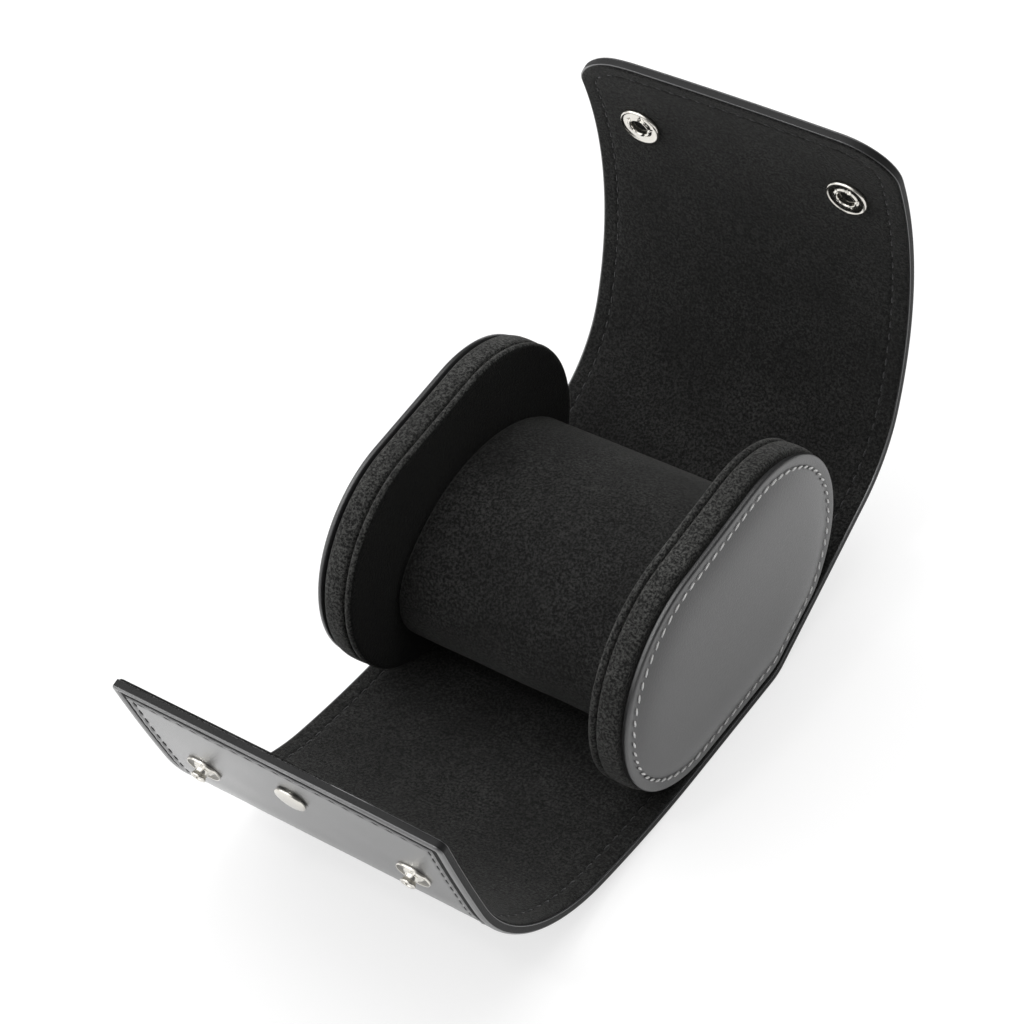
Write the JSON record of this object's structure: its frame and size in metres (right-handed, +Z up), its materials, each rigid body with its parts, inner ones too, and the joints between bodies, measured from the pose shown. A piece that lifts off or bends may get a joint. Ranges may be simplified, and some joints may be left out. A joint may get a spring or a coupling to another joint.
{
  "type": "watch roll",
  "caption": "Single watch roll shown open: stiff leather wrap, suede lining, padded cheeks and a loose oval pillow.",
  "frame": {"origin": "on the flat underside of the wrap, midway between the two cheeks", "axes": "+X along the pillow, +Y towards the back flap, +Z up"},
  "size_m": [0.0906, 0.2015, 0.1282],
  "materials": {
    "leather": "smooth dark grey leather",
    "suede": "black suede",
    "board": "plain stiffening board",
    "foam": "soft foam",
    "stud_metal": "polished nickel plate"
  },
  "bodies": {
    "base": {"base_leather": "leather", "base_board": "board", "base_lining": "suede", "left_cheek_leather": "leather", "left_cheek_pad": "foam", "left_cheek_board": "board", "left_cheek_band": "suede", "left_cheek_core": "foam", "left_cheek_welt": "suede", "left_cheek_suede": "suede", "right_cheek_leather": "leather", "right_cheek_pad": "foam", "right_cheek_board": "board", "right_cheek_band": "suede", "right_cheek_core": "foam", "right_cheek_welt": "suede", "right_cheek_suede": "suede"},
    "front_lower": {"front_lower_leather": "leather", "front_lower_board": "board", "front_lower_lining": "suede"},
    "front_mid": {"front_mid_leather": "leather", "front_mid_board": "board", "front_mid_lining": "suede"},
    "front_tip": {"front_tip_leather": "leather", "front_tip_board": "board", "front_tip_lining": "suede", "studs": "stud_metal", "stud_eyelets": "stud_metal", "middle_button": "stud_metal", "middle_rivet": "stud_metal"},
    "back_lower": {"back_lower_leather": "leather", "back_lower_board": "board", "back_lower_lining": "suede"},
    "back_tip": {"back_tip_leather": "leather", "back_tip_board": "board", "back_tip_lining": "suede", "sockets": "stud_metal", "socket_caps": "stud_metal"},
    "pillow": {"pillow_cover": "suede", "pillow_left_end": "suede", "pillow_right_end": "suede", "pillow_core": "foam"}
  },
  "joints": [
    {"name": "front_fold", "type": "hinge", "parent": "base", "child": "front_lower", "pos_m": [0, -0.02842, 0.00263], "axis": [-1, 0, 0], "range_deg": [0, 37.5]},
    {"name": "front_mid_fold", "type": "hinge", "parent": "front_lower", "child": "front_mid", "pos_m": [0, -0.05457, 0.00477], "axis": [-1, 0, 0], "range_deg": [0, 37.1]},
    {"name": "front_end_fold", "type": "hinge", "parent": "front_mid", "child": "front_tip", "pos_m": [0, -0.09203, 0.0221], "axis": [-1, 0, 0], "range_deg": [0, 26.1]},
    {"name": "back_fold", "type": "hinge", "parent": "base", "child": "back_lower", "pos_m": [0, 0.04613, 0.01752], "axis": [1, 0, 0], "range_deg": [-10, 56.4]},
    {"name": "back_end_fold", "type": "hinge", "parent": "back_lower", "child": "back_tip", "pos_m": [0, 0.08178, 0.06329], "axis": [1, 0, 0], "range_deg": [-5, 28]},
    {"name": "pillow_lift", "type": "slide", "parent": "base", "child": "pillow", "axis": [0, 0, 1], "range_m": [0, 0.016]}
  ],
  "couplings": [
    {"joint": "front_mid_fold", "follows": "front_fold", "ratio": 0.9893},
    {"joint": "front_end_fold", "follows": "front_fold", "ratio": 0.696},
    {"joint": "back_end_fold", "follows": "back_fold", "ratio": 0.4964}
  ]
}
